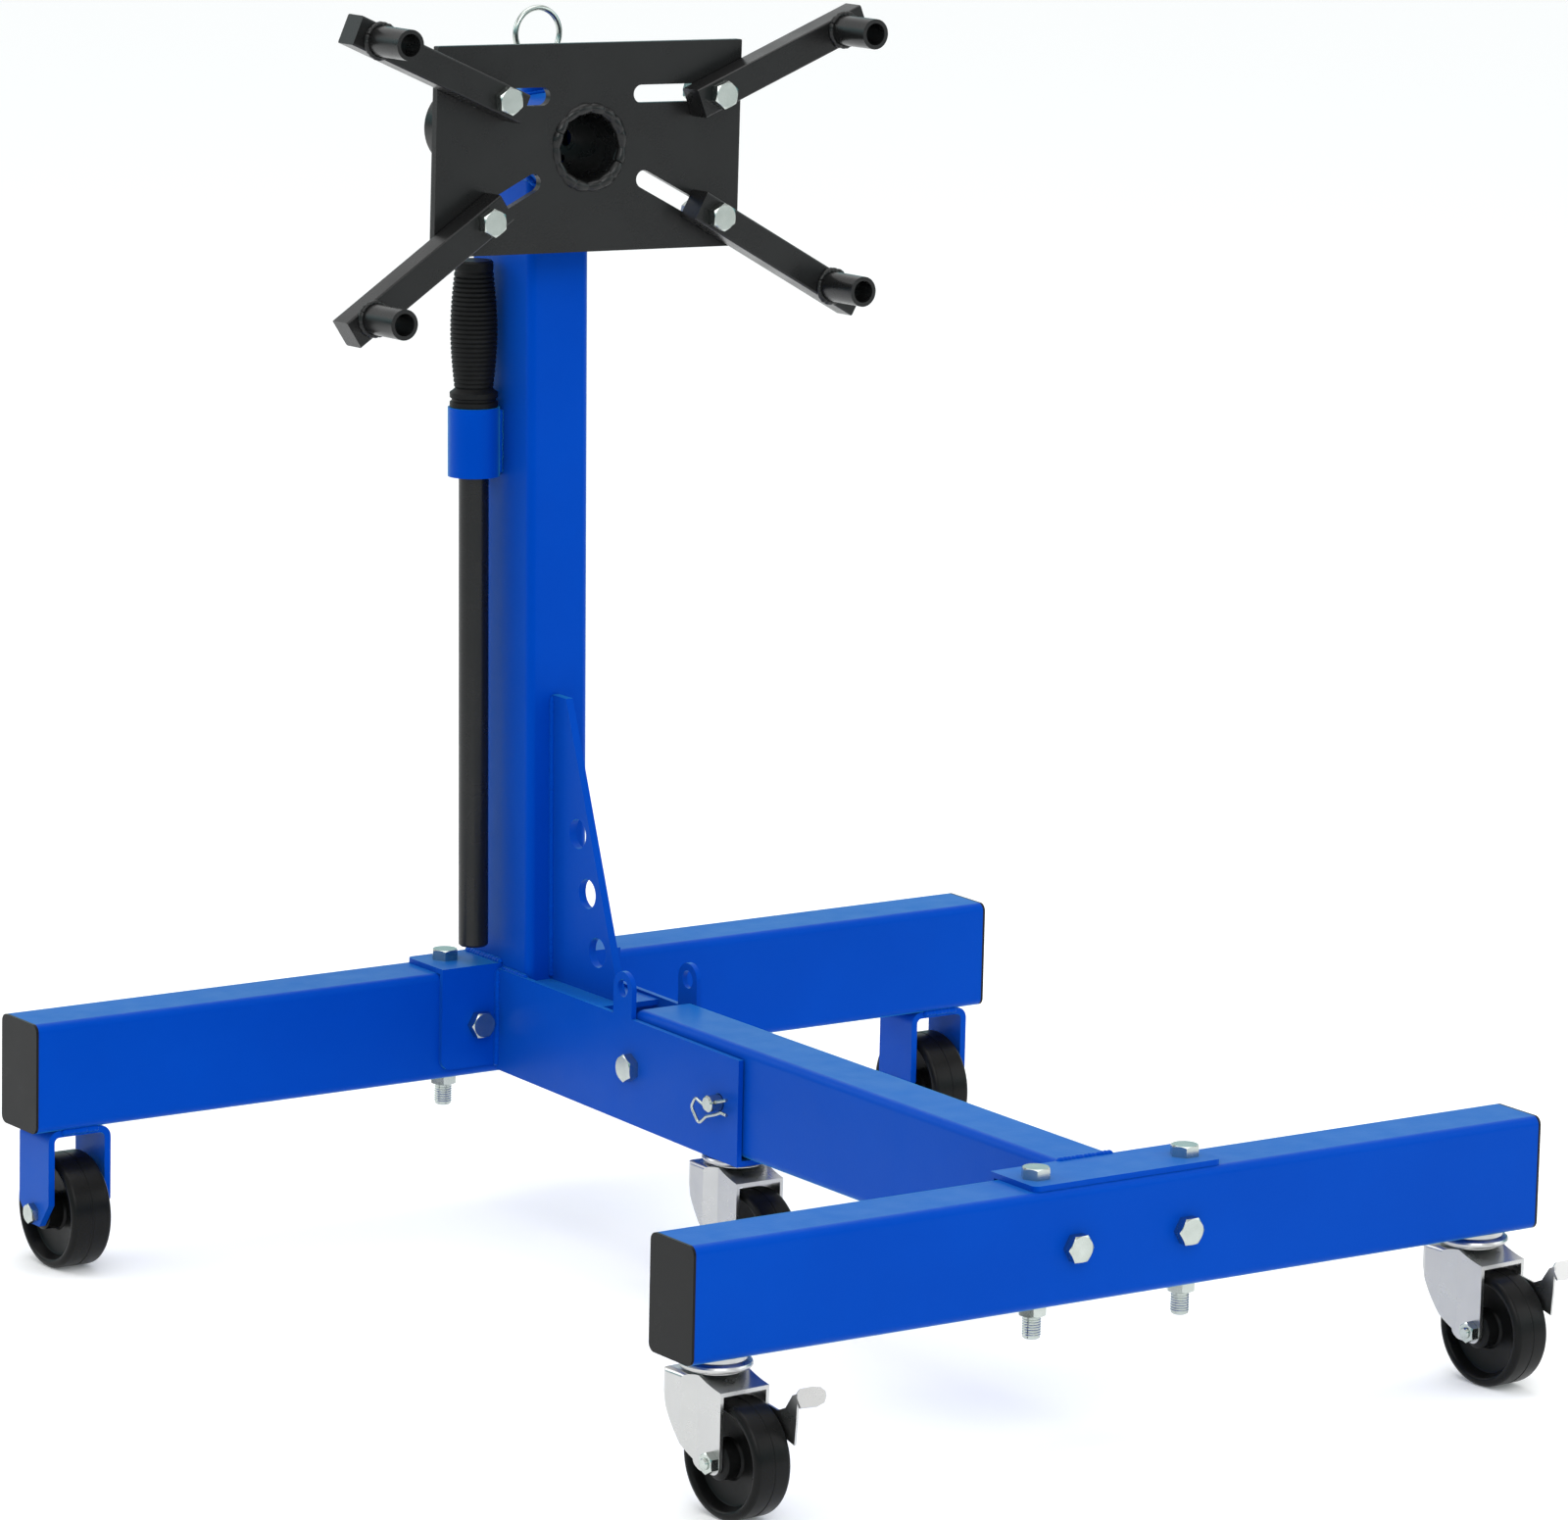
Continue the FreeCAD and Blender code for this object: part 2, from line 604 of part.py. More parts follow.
def straight(start, end):
    return Part.makeLine(Vector(0, *start), Vector(0, *end))


def fork_plan(inset):
    """Fork seen from above: flat side plates, bend lines, then the wider rounded back."""
    flat, wide, back = fork_width / 2 - inset, fork_shoulder - inset, fork_back - inset
    right = [(flat, fork_front - 20 * inset), (flat, -7.4), (wide, 5.0), (wide, back - 5.0),
             (wide - 1.4, back - 1.4), (wide - 5.0, back)]
    return prism(right + [(-x, y) for x, y in reversed(right)], "z", 20, fork_top - 20)


def swivel_fork(braked):
    """Pressed swivel fork round a wheel, with its stem axis on Z and trail along -Y."""
    axle_y = -caster_trail
    front, back, top = fork_front, fork_back, fork_top
    edges = [straight((front, top - 7.0), (front, 39.0)),
             curve((front, 39.0), (front + 2.0, 33.6), (axle_y + 1, 31.4)),
             straight((axle_y + 1, 31.4), (-12.0, 31.4)),
             curve((-12.0, 31.4), (-6.6, 33.4), (-4.5, 38.0)),
             curve((-4.5, 38.0), (9.5, 51.0), (24.6, 77.0)),
             curve((24.6, 77.0), (25.7, 83.0), (back, top - 5)),
             curve((back, top - 5), (back - 1.5, top - 1.5), (back - 5, top)),
             straight((back - 5, top), (-8.0, top)),
             curve((-8.0, top), (-20.0, top - 4.4), (front, top - 7.0))]
    outline = Part.Face(Part.Wire(edges)).extrude(Vector(60, 0, 0))
    outline.translate(Vector(-30, 0, 0))
    shoulder = rounded_outline(2 * fork_shoulder, 120, 4.0, "y", -60, 120, (0, top - 60))
    hollow = fork_plan(fork_plate)
    ceiling = prism([(-90, 10), (60, 10), (60, top - 3), (-9, top - 3), (-20, top - 7.2),
                     (front, top - 9.8), (-90, top - 9.8)], "x", -30, 60)
    fork = fork_plan(0.0).common(outline).common(shoulder).cut(hollow.common(ceiling))
    fork = fork.cut(rod(axle_radius + 0.2, (-40, axle_y, wheel_radius), "x", 80))
    fork = fork.cut(rod(axle_radius + 2.1, (0, 0, 70), "z", 40))
    if braked:
        fork = fork.cut(rod(rivet_radius + running_gap, (0, brake_pivot_y, brake_pivot_z), "x", 40))
    return fork


def caster_race(top, stem_top):
    """Pressed bearing cup above the fork with the stem that fixes the caster."""
    base = fork_top + gap
    rim = race_radius
    outline = [(0, base), (19.0, base), (19.0, base + 1.4), (rim - 2.6, base + 1.4),
               (rim - 0.9, base + 2.2), (rim - 0.1, base + 3.4), (rim, base + 4.6),
               (rim - 0.6, base + 5.9), (rim - 2.2, base + 7.0), (rim - 4.0, base + 7.7),
               (rim - 4.2, top), (0, top)]
    corners = [Vector(r, 0, z) for r, z in outline]
    face = Part.Face(Part.makePolygon(corners + [corners[0]]))
    cup = face.revolve(Vector(0, 0, 0), Vector(0, 0, 1), 360)
    stem = rod(axle_radius + 2, (0, 0, base - 9), "z", stem_top - base + 9)
    return cup.fuse(stem)


def stem_nut(floor):
    return hex_nut((0, 0, floor), (0, 0, 1), m12_radius, m12_flats, m12_nut)


def axle_bolt(half_grip):
    """Axle bolt along X with its nut on the left, gripping plates `half_grip` out."""
    screw = hex_bolt((half_grip, 0, 0), (1, 0, 0), 2 * half_grip + m8_nut + 2, axle_radius,
                     m8_flats, m8_head)
    nut = hex_nut((-half_grip, 0, 0), (-1, 0, 0), axle_radius, m8_flats, m8_nut)
    return screw, nut


def brake_lever():
    """Strap beside the wheel, from its rivet forward to a rounded tongue turned outwards."""
    strap_x = wheel_width / 2 + 0.6
    strap = [(-64.0, 55), (-65.5, 72), (-66.0, 90), (-61.0, 88), (-54.0, 78), (-46.0, 74.5),
             (brake_pivot_y, 78.5), (brake_pivot_y + 6, 72), (brake_pivot_y, 65.5), (-46.0, 60)]
    strap_solid = prism(strap, "x", strap_x, 1.6)
    outline = [(0, -6.0), (14, -7.0), (20, -5.5), (23.4, -1.5), (24, 2), (21.5, 5), (15, 6.5),
               (5, 6.5), (0, 3.0)]
    tongue = prism(outline, "y", -0.9, 1.8)
    tongue.rotate(Vector(0, 0, 0), Vector(1, 0, 0), -35)
    tongue.translate(Vector(strap_x, -65.5, 86.0))
    rivet = rod(rivet_radius, (strap_x, brake_pivot_y, brake_pivot_z), "x", 6.5)
    return strap_solid.fuse(tongue).fuse(rivet)


# ---------------------------------------------------------------- writing the nodes
def write(name, *shapes):
    moved = []
    for shape in shapes:
        solid = shape.copy()
        solid.Placement = FreeCAD.Placement(Vector(0, centre_shift, 0), FreeCAD.Rotation()).multiply(
            solid.Placement)
        moved.append(solid)
    whole = moved[0] if len(moved) == 1 else Part.makeCompound(moved)
    solids = len(whole.Solids)
    if not whole.isValid() or solids != len(shapes):
        print("CHECK", name, "valid", whole.isValid(), "solids", solids, "wanted", len(shapes))
    whole.exportStep("parts/" + name + ".step")


def stand_at(shape, x, y, z=0.0, turn=0.0):
    shape = shape.copy()
    place = FreeCAD.Placement(Vector(x, y, z), FreeCAD.Rotation(Vector(0, 0, 1), turn))
    shape.Placement = place.multiply(shape.Placement)
    return shape


def build_base():
    write("rear_cross_tube", cross_tube(rear_cross_length, 0.0, rear_bolts, (), 0.0))
    write("rear_end_caps", *end_caps(rear_cross_length, 0.0))
    rear_face = -half_depth - plate
    write("rear_bracket", angle_bracket(rear_face, 21.0, rear_face, -half_depth, rear_bolts))
    screws, nuts = bracket_fasteners(rear_bolts, rear_face, plate + tube_width, half_depth)
    write("rear_bracket_bolts", *screws)
    write("rear_bracket_nuts", *nuts)
    write("hinge_channel", hinge_channel())
    write("post_tube", post_tube())
    write("post_gusset", post_gusset())
    write("head_housing", head_housing())
    write("index_boss", index_boss())
    write("handle_sleeve", handle_sleeve())
    pivot_grip = channel_outer / 2
    write("pivot_bolt", hex_bolt((-pivot_grip, pivot_y, pivot_z), (-1, 0, 0), channel_outer + 15,
                                 m12_radius, m12_flats, m12_head))
    write("pivot_nut", hex_nut((pivot_grip, pivot_y, pivot_z), (1, 0, 0), m12_radius, m12_flats,
                               m12_nut))


def build_leg():
    write("leg_tube", leg_tube())
    bush_half = channel_outer / 2 - plate - 0.4
    write("pivot_bush", pipe(9.0, m12_radius + running_gap, (-bush_half, pivot_y, pivot_z), "x",
                             2 * bush_half))
    back = front_y + half_depth
    write("front_bracket", angle_bracket(front_y - 21.0, back + plate, back, back + plate, front_bolts))
    write("front_cross_tube", cross_tube(front_cross_length, front_y, front_bolts,
                                         (-caster_x, caster_x), front_y))
    write("front_end_caps", *end_caps(front_cross_length, front_y))
    screws, nuts = bracket_fasteners(front_bolts, front_y - half_depth, tube_width + plate,
                                     back + plate)
    write("front_bracket_bolts", *screws)
    write("front_bracket_nuts", *nuts)


def build_rear_wheels():
    sides = {"left": -1, "right": 1}
    half = rear_fork_width / 2
    write("rear_forks", *[rear_fork(side) for side in sides.values()])
    screws, nuts, bushes = [], [], []
    for side in sides.values():
        screw, nut = axle_bolt(half)
        turn = 180 if side < 0 else 0
        screws.append(stand_at(screw, side * rear_fork_x, 0, rear_wheel_radius, turn))
        nuts.append(stand_at(nut, side * rear_fork_x, 0, rear_wheel_radius, turn))
        bush_half = half - rear_fork_plate
        bushes.append(pipe(bush_radius, axle_radius, (side * rear_fork_x - bush_half, 0, rear_wheel_radius),
                           "x", 2 * bush_half))
    write("rear_axle_bolts", *screws)
    write("rear_axle_nuts", *nuts)
    write("rear_wheel_bushes", *bushes)
    for name, side in sides.items():
        turning = wheel(rear_wheel_radius, rear_wheel_width, rear_hub_length, bush_radius + running_gap)
        write("rear_wheel_" + name, stand_at(turning, side * rear_fork_x, 0, rear_wheel_radius))


def build_casters():
    spots = {"left": (-caster_x, front_y, caster_turn), "right": (caster_x, front_y, caster_turn),
             "middle": (0.0, middle_caster_y, 0.0)}
    belly_slope = (channel_rear_bottom - channel_front_bottom) / (-half_depth - plate - channel_front)
    belly_z = channel_front_bottom + belly_slope * (middle_caster_y - channel_front)
    race_front = caster_race(tube_bottom, tube_bottom + 22)
    write("front_caster_races", *[stand_at(race_front, *spots[s][:2]) for s in ("left", "right")])
    write("front_caster_nuts", *[stand_at(stem_nut(tube_bottom + tube_wall), *spots[s][:2])
                                 for s in ("left", "right")])
    race_middle = caster_race(belly_z - race_radius * belly_slope, belly_z + plate - 0.5)
    write("middle_caster_race", stand_at(race_middle, *spots["middle"][:2]))
    for name, (x, y, turn) in spots.items():
        screw, nut = axle_bolt(fork_width / 2)
        hub = wheel(wheel_radius, wheel_width, swivel_hub_length, axle_radius + running_gap)
        axle = (0, -caster_trail, wheel_radius)
        write("swivel_fork_" + name, stand_at(swivel_fork(name != "middle"), x, y, 0, turn))
        write("swivel_axle_" + name, *[stand_at(stand_at(piece, *axle), x, y, 0, turn)
                                       for piece in (screw, nut)])
        write("swivel_wheel_" + name, stand_at(stand_at(hub, *axle), x, y, 0, turn))
        if name != "middle":
            write("brake_lever_" + name, stand_at(brake_lever(), x, y, 0, turn))


def build_head():
    write("head_tube", head_tube())
    write("face_plate", face_plate())
    for name, arm in arms.items():
        write("arm_" + name, arm_bar(arm))
        write("arm_sleeve_" + name, arm_sleeve(arm))
        write("arm_bolt_" + name, *arm_bolt(arm))


build_base()
build_leg()
build_rear_wheels()
build_casters()
build_head()
write("lock_pin", lock_pin())
write("r_clip", r_clip())
write("index_pin", index_pin())
write("handle_bar", handle_bar())
write("handle_grip", handle_grip())
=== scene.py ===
import json
import math
import random

import bpy
from mathutils import Matrix, Vector


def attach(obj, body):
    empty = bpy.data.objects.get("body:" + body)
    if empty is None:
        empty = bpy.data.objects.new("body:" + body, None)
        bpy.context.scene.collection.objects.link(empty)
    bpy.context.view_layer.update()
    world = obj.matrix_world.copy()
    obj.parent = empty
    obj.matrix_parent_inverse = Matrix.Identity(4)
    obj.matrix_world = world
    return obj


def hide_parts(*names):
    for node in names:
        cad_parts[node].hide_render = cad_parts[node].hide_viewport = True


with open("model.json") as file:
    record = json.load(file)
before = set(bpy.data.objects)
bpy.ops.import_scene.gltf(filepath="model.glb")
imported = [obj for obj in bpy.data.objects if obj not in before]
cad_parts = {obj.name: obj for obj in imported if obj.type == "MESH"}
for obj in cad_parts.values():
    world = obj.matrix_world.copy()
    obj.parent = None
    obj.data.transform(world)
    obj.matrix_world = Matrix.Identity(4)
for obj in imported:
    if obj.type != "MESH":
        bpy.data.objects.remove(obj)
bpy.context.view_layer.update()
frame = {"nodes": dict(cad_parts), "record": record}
MM = 0.001                 # metres in a millimetre
NODES = frame["nodes"]
SLOT_OF = {part["node"]: part["material_slot"] for part in frame["record"]["subparts"]}
random.seed(7)


# ---------------------------------------------------------------- node material helpers
def new_material(name):
    material = bpy.data.materials.new(name)
    material.use_nodes = True
    return material, material.node_tree, material.node_tree.nodes["Principled BSDF"]


def add(tree, kind, **inputs):
    """Add a shader node; numbers and colours go in by socket name."""
    node = tree.nodes.new(kind)
    for name, value in inputs.items():
        node.inputs[name.replace("_", " ")].default_value = value
    return node


def object_coords(tree, scale=(1.0, 1.0, 1.0)):
    coords = tree.nodes.new("ShaderNodeTexCoord")
    mapping = add(tree, "ShaderNodeMapping", Scale=scale)
    tree.links.new(coords.outputs["Object"], mapping.inputs["Vector"])
    return mapping.outputs["Vector"]


def noise(tree, vector, scale, detail=2.0, roughness=0.5):
    node = add(tree, "ShaderNodeTexNoise", Scale=scale, Detail=detail, Roughness=roughness)
    tree.links.new(vector, node.inputs["Vector"])
    return node.outputs["Fac"]


def ramp(tree, value, low, high, out_low, out_high):
    """Map a value to a range of numbers."""
    node = add(tree, "ShaderNodeMapRange", From_Min=low, From_Max=high, To_Min=out_low, To_Max=out_high)
    tree.links.new(value, node.inputs["Value"])
    return node.outputs["Result"]


def blend_colours(tree, factor, first, second):
    node = tree.nodes.new("ShaderNodeMix")
    node.data_type = "RGBA"
    for socket, colour in ((6, first), (7, second)):
        if isinstance(colour, tuple):
            node.inputs[socket].default_value = (*colour, 1.0)
        else:
            tree.links.new(colour, node.inputs[socket])
    tree.links.new(factor, node.inputs[0])
    return node.outputs[2]


def bump(tree, height, strength, distance, under=None):
    node = add(tree, "ShaderNodeBump", Strength=strength, Distance=distance)
    tree.links.new(height, node.inputs["Height"])
    if under is not None:
        tree.links.new(under, node.inputs["Normal"])
    return node.outputs["Normal"]


# ---------------------------------------------------------------- materials
def powder_coat(name, colour, deep, roughness, shine, peel_scale, peel_strength):
    """Sprayed powder paint: orange peel, faint mottling and slightly uneven gloss."""
    material, tree, shader = new_material(name)
    coords = object_coords(tree)
    mottle = noise(tree, coords, 9.0, 3.0)
    speck = noise(tree, coords, 1400.0, 2.0)
    tone = blend_colours(tree, ramp(tree, mottle, 0.35, 0.65, 0.0, 1.0), deep, colour)
    lighter = tuple(min(1.0, c * 1.25 + 0.01) for c in colour)
    tone = blend_colours(tree, ramp(tree, speck, 0.62, 0.8, 0.0, 0.35), tone, lighter)
    tree.links.new(tone, shader.inputs["Base Color"])
    gloss = noise(tree, coords, 38.0, 4.0)
    tree.links.new(ramp(tree, gloss, 0.3, 0.7, roughness - 0.05, roughness + 0.06),
                   shader.inputs["Roughness"])
    peel = noise(tree, coords, peel_scale, 1.5)
    fine = noise(tree, coords, peel_scale * 3.7, 1.0)
    first = bump(tree, peel, peel_strength, 0.0004)
    tree.links.new(bump(tree, fine, peel_strength * 0.5, 0.0001, first), shader.inputs["Normal"])
    shader.inputs["Specular IOR Level"].default_value = shine
    return material


def cyan_painted_reflection(material):
    """Painted reflection: a cyan specular tint and a teal sheen paint the pale cyan that the tops reflect
    at a low angle onto the blue coat; head on, the shine is tinted blue.
    """
    shader = material.node_tree.nodes["Principled BSDF"]
    shader.inputs["Specular Tint"].default_value = (0.0, 0.75, 1.0, 1.0)
    shader.inputs["Sheen Weight"].default_value = 0.35
    shader.inputs["Sheen Roughness"].default_value = 0.35
    shader.inputs["Sheen Tint"].default_value = (0.12, 1.0, 0.75, 1.0)


def plated_metal(name, colour, dull, roughness, streak_scale, streaks):
    """Plated or pressed steel: cloudy plating, fine rolling streaks and tiny pits."""
    material, tree, shader = new_material(name)
    coords = object_coords(tree)
    cloud = noise(tree, coords, 70.0, 3.0, 0.5)
    tone = blend_colours(tree, ramp(tree, cloud, 0.35, 0.68, 0.0, 1.0), dull, colour)
    tree.links.new(tone, shader.inputs["Base Color"])
    lines = noise(tree, object_coords(tree, streak_scale), 260.0, 3.0, 0.6)
    blotch = noise(tree, coords, 60.0, 3.0)
    mixed = tree.nodes.new("ShaderNodeMath")
    mixed.operation = "ADD"
    tree.links.new(ramp(tree, lines, 0.3, 0.7, -0.02, 0.02), mixed.inputs[0])
    tree.links.new(ramp(tree, blotch, 0.3, 0.7, roughness - 0.02, roughness + 0.03), mixed.inputs[1])
    tree.links.new(mixed.outputs[0], shader.inputs["Roughness"])
    tree.links.new(bump(tree, lines, streaks, 0.0001), shader.inputs["Normal"])
    shader.inputs["Metallic"].default_value = 1.0
    return material


def moulded_plastic(name, colour, worn, roughness, grain_scale, grain_strength):
    """Moulded black plastic or rubber: fine grain with faint scuffing."""
    material, tree, shader = new_material(name)
    coords = object_coords(tree)
    scuff = noise(tree, coords, 45.0, 6.0, 0.7)
    tone = blend_colours(tree, ramp(tree, scuff, 0.5, 0.78, 0.0, 0.8), colour, worn)
    tree.links.new(tone, shader.inputs["Base Color"])
    tree.links.new(ramp(tree, scuff, 0.3, 0.75, roughness - 0.05, roughness + 0.12),
                   shader.inputs["Roughness"])
    grain = noise(tree, coords, grain_scale, 2.0)
    tree.links.new(bump(tree, grain, grain_strength, 0.0002), shader.inputs["Normal"])
    shader.inputs["Specular IOR Level"].default_value = 0.13
    return material


MATERIALS = {
    "blue_paint": powder_coat("blue_powder_coat", (0.000, 0.047, 0.405), (0.000, 0.043, 0.385),
                              0.38, 0.12, 420.0, 0.10),
    "black_paint": powder_coat("black_powder_coat", (0.0085, 0.0085, 0.0085), (0.0065, 0.0065, 0.0065),
                               0.28, 0.30, 520.0, 0.12),
    "zinc_plate": plated_metal("bright_zinc", (0.50, 0.54, 0.51), (0.42, 0.46, 0.43),
                               0.22, (1.0, 1.0, 1.0), 0.02),
    "pressed_steel": plated_metal("plated_pressing", (0.51, 0.51, 0.505), (0.495, 0.495, 0.49),
                                  0.29, (1.0, 1.0, 6.0), 0.012),
    "black_plastic": moulded_plastic("black_plastic", (0.0045, 0.0045, 0.0045), (0.009, 0.009, 0.009),
                                     0.30, 900.0, 0.05),
    "grip_rubber": moulded_plastic("grip_rubber", (0.006, 0.006, 0.006), (0.012, 0.012, 0.012),
                                   0.46, 700.0, 0.10),
}
# Painted reflection: the blue coat gets cyan specular and teal sheen colours that paint in reflected cyan
# light.
cyan_painted_reflection(MATERIALS["blue_paint"])


# ---------------------------------------------------------------- places on the stand
# Lengths are millimetres in the stand's own frame: Y = 0 on the rear cross tube.
CENTRE_SHIFT = 359.855      # from the rear cross tube to the middle of the stand
TUBE_HEIGHT = 80.0
TUBE_TOP = 185.3
TUBE_BOTTOM = TUBE_TOP - TUBE_HEIGHT
TUBE_MIDDLE = TUBE_TOP - TUBE_HEIGHT / 2
PLATE_TOP = TUBE_TOP + 4.0  # top of the bracket plates and of the leg tube
FRONT_Y = -740.0
LEG_WELD_Y = -710.6
LEG_HALF = 25.3
CHANNEL_WELD_Y = -29.4
POST_HALF = 26.0
POST_FRONT, POST_REAR = -40.0, 40.0
POST_Y, POST_LEAN = -24.2, 1.43
FACE_Y, FACE_ROLL = -78.0, 1.43
HEAD_HEIGHT = 610.2
HOUSING_RADIUS = 35.0
INDEX_Y = -9.0
BOSS_WELD_RADIUS = 12.2
BAR_Y = 5.5
FORK_X = 378.0
REAR_WHEEL_RADIUS, REAR_WHEEL_WIDTH = 41.5, 32.0
WHEEL_RADIUS, WHEEL_WIDTH = 40.0, 29.0
TREAD_ROUND = 4.0
NUT_HEIGHT = 10.0
# Each caster's X and Y, and the degrees that it stands turned.
CASTERS = {"left": (-316.0, FRONT_Y, 4.0), "right": (316.0, FRONT_Y, 4.0), "middle": (0.0, -299.0, 0.0)}
CASTER_TRAIL = 24.0
# Each arm's bolt in the face plate's X and Z, and the arm's direction in degrees.
ARMS = {"top_left": (-84.8, 37.5, 157.3), "top_right": (99.5, 37.5, 22.6),
        "bottom_left": (-96.3, -48.7, 214.5), "bottom_right": (100.4, -50.8, -28.3)}
ARM_REACH = 115.0
ARM_FRONT = -20.3


def turned(axis, degrees):
    return Matrix.Rotation(math.radians(degrees), 4, axis)


STAND = Matrix.Translation((0, CENTRE_SHIFT, 0))
POST = STAND @ Matrix.Translation((0, POST_Y, TUBE_TOP)) @ turned("X", -POST_LEAN)
FACE = POST @ Matrix.Translation((0, FACE_Y, HEAD_HEIGHT)) @ turned("Y", FACE_ROLL)


def placed(frame_matrix, points):
    """Points in millimetres in one of the frames above, as metres in the row frame."""
    return [(frame_matrix @ Vector(point)) * MM for point in points]


def new_piece(name, vertices, faces, body, slot, sharp_degrees):
    mesh = bpy.data.meshes.new(name)
    mesh.from_pydata([tuple(v) for v in vertices], [], faces)
    mesh.update()
    mesh.shade_smooth()
    mesh.set_sharp_from_angle(angle=math.radians(sharp_degrees))
    piece = bpy.data.objects.new(name, mesh)
    bpy.context.scene.collection.objects.link(piece)
    mesh.materials.append(MATERIALS[slot])
    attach(piece, body)
    return piece


# ---------------------------------------------------------------- welds, threads and wheels
WELD_STEP = 0.0008         # metres along the bead from one ring of points to the next
WELD_SIDES = 10


def even_steps(path, step, closed):
    """The path cut into even steps, each with its distance from the start."""
    points = list(path) + ([path[0]] if closed else [])
    lengths = [(b - a).length for a, b in zip(points, points[1:])]
    total = sum(lengths)
    count = max(3, round(total / step))
    spots, index, passed = [], 0, 0.0
    for number in range(count if closed else count + 1):
        wanted = total * number / count
        while index < len(lengths) - 1 and wanted > passed + lengths[index]:
            passed += lengths[index]
            index += 1
        share = (wanted - passed) / lengths[index]
        spots.append((points[index].lerp(points[index + 1], min(share, 1.0)), wanted))
    return spots


def weld(name, body, slot, path, radius, closed=False, pitch=3.4, lumps=0.12):
    """Weld bead: a swept round whose size rises and falls with each overlapping puddle."""
    spots = even_steps(path, WELD_STEP, closed)
    count = len(spots)
    vertices, faces = [], []
    radius, pitch = radius * MM, pitch * MM
    puddles = [1.0 + random.uniform(-lumps, lumps) for _ in range(int(spots[-1][1] / pitch) + 2)]
    if closed:
        puddles[-1] = puddles[-2] = puddles[0]
    for number, (spot, distance) in enumerate(spots):
        ahead = spots[(number + 1) % count][0] if closed else spots[min(number + 1, count - 1)][0]
        behind = spots[number - 1][0] if closed or number else spots[0][0]
        along = (ahead - behind).normalized()
        across = along.orthogonal().normalized() if abs(along.z) > 0.9 else along.cross(Vector((0, 0, 1)))
        across.normalize()
        upward = across.cross(along)
        puddle = int(distance / pitch)
        phase = distance / pitch - puddle
        lump = puddles[puddle] + (puddles[puddle + 1] - puddles[puddle]) * phase
        size = radius * lump * (0.84 + 0.20 * math.sin(math.pi * phase) ** 0.6)
        if not closed:
            size *= min(1.0, 0.35 + 0.5 * min(number, count - 1 - number))
        for side in range(WELD_SIDES):
            angle = 2 * math.pi * side / WELD_SIDES
            vertices.append(spot + across * (size * math.cos(angle)) + upward * (size * math.sin(angle)))
    for number in range(count if closed else count - 1):
        base, after = number * WELD_SIDES, ((number + 1) % count) * WELD_SIDES
        for side in range(WELD_SIDES):
            beside = (side + 1) % WELD_SIDES
            faces.append((base + side, base + beside, after + beside, after + side))
    if not closed:
        faces.append(tuple(range(WELD_SIDES)))
        faces.append(tuple(reversed(range((count - 1) * WELD_SIDES, count * WELD_SIDES))))
    return new_piece(name, vertices, faces, body, slot, 60)


def lathe(name, body, slot, place, profile, sharp_degrees, segments=72):
    """Closed (radius, distance) outline in millimetres spun round `place`'s local X axis."""
    vertices, faces = [], []
    count = len(profile)
    for segment in range(segments):
        angle = 2 * math.pi * segment / segments
        for radius, along in profile:
            spot = Vector((along, radius * math.cos(angle), radius * math.sin(angle)))
            vertices.append((place @ spot) * MM)
    for segment in range(segments):
        base, after = segment * count, ((segment + 1) % segments) * count
        for number in range(count):
            beside = (number + 1) % count
            faces.append((base + number, after + number, after + beside, base + beside))
    return new_piece(name, vertices, faces, body, slot, sharp_degrees)


def thread(name, body, place, length, radius=6.0, pitch=1.75):
    """Thread ridges round a bolt's end, along `place`'s local X axis."""
    crest, root = radius + 0.32, radius - 0.25
    profile = [(radius - 1.5, 0.0)]
    turns = int(length / pitch)
    for turn in range(turns):
        start = turn * pitch
        profile += [(root, start), (crest, start + pitch * 0.42), (crest, start + pitch * 0.58)]
    profile += [(root, turns * pitch), (radius - 1.5, turns * pitch)]
    return lathe(name, body, "zinc_plate", place, profile, 25, 40)


def wheel(node, place, radius, width, hub_half, bore):
    """Moulded wheel: hub, dished sides, rolled rim lips, rounded shoulders and a mould seam."""
    half, rim, tread = width / 2, radius - TREAD_ROUND, TREAD_ROUND
    right = [(bore, hub_half), (11.2, hub_half), (12.6, hub_half - 0.9), (13.1, half - 7.6),
             (14.6, half - 9.0), (rim - 6.5, half - 9.0), (rim - 4.9, half - 8.2), (rim - 2.6, half - 1.6),
             (rim - 1.7, half - 0.4), (rim - 0.6, half)]
    for step in range(9):
        angle = math.radians(90 - 11.25 * step)
        right.append((rim + tread * math.cos(angle), half - tread + tread * math.sin(angle)))
    right += [(radius, 0.8), (radius - 0.35, 0.45)]
    profile = right + [(r, -x) for r, x in reversed(right)]
    piece = lathe(node + "_moulding", node, "black_plastic", place, profile, 40, 96)
    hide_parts(node)


def circle(radius, y, centre=(0.0, 0.0), count=64):
    """Points round a circle that faces along Y."""
    return [(centre[0] + radius * math.cos(2 * math.pi * i / count), y,
             centre[1] + radius * math.sin(2 * math.pi * i / count)) for i in range(count)]


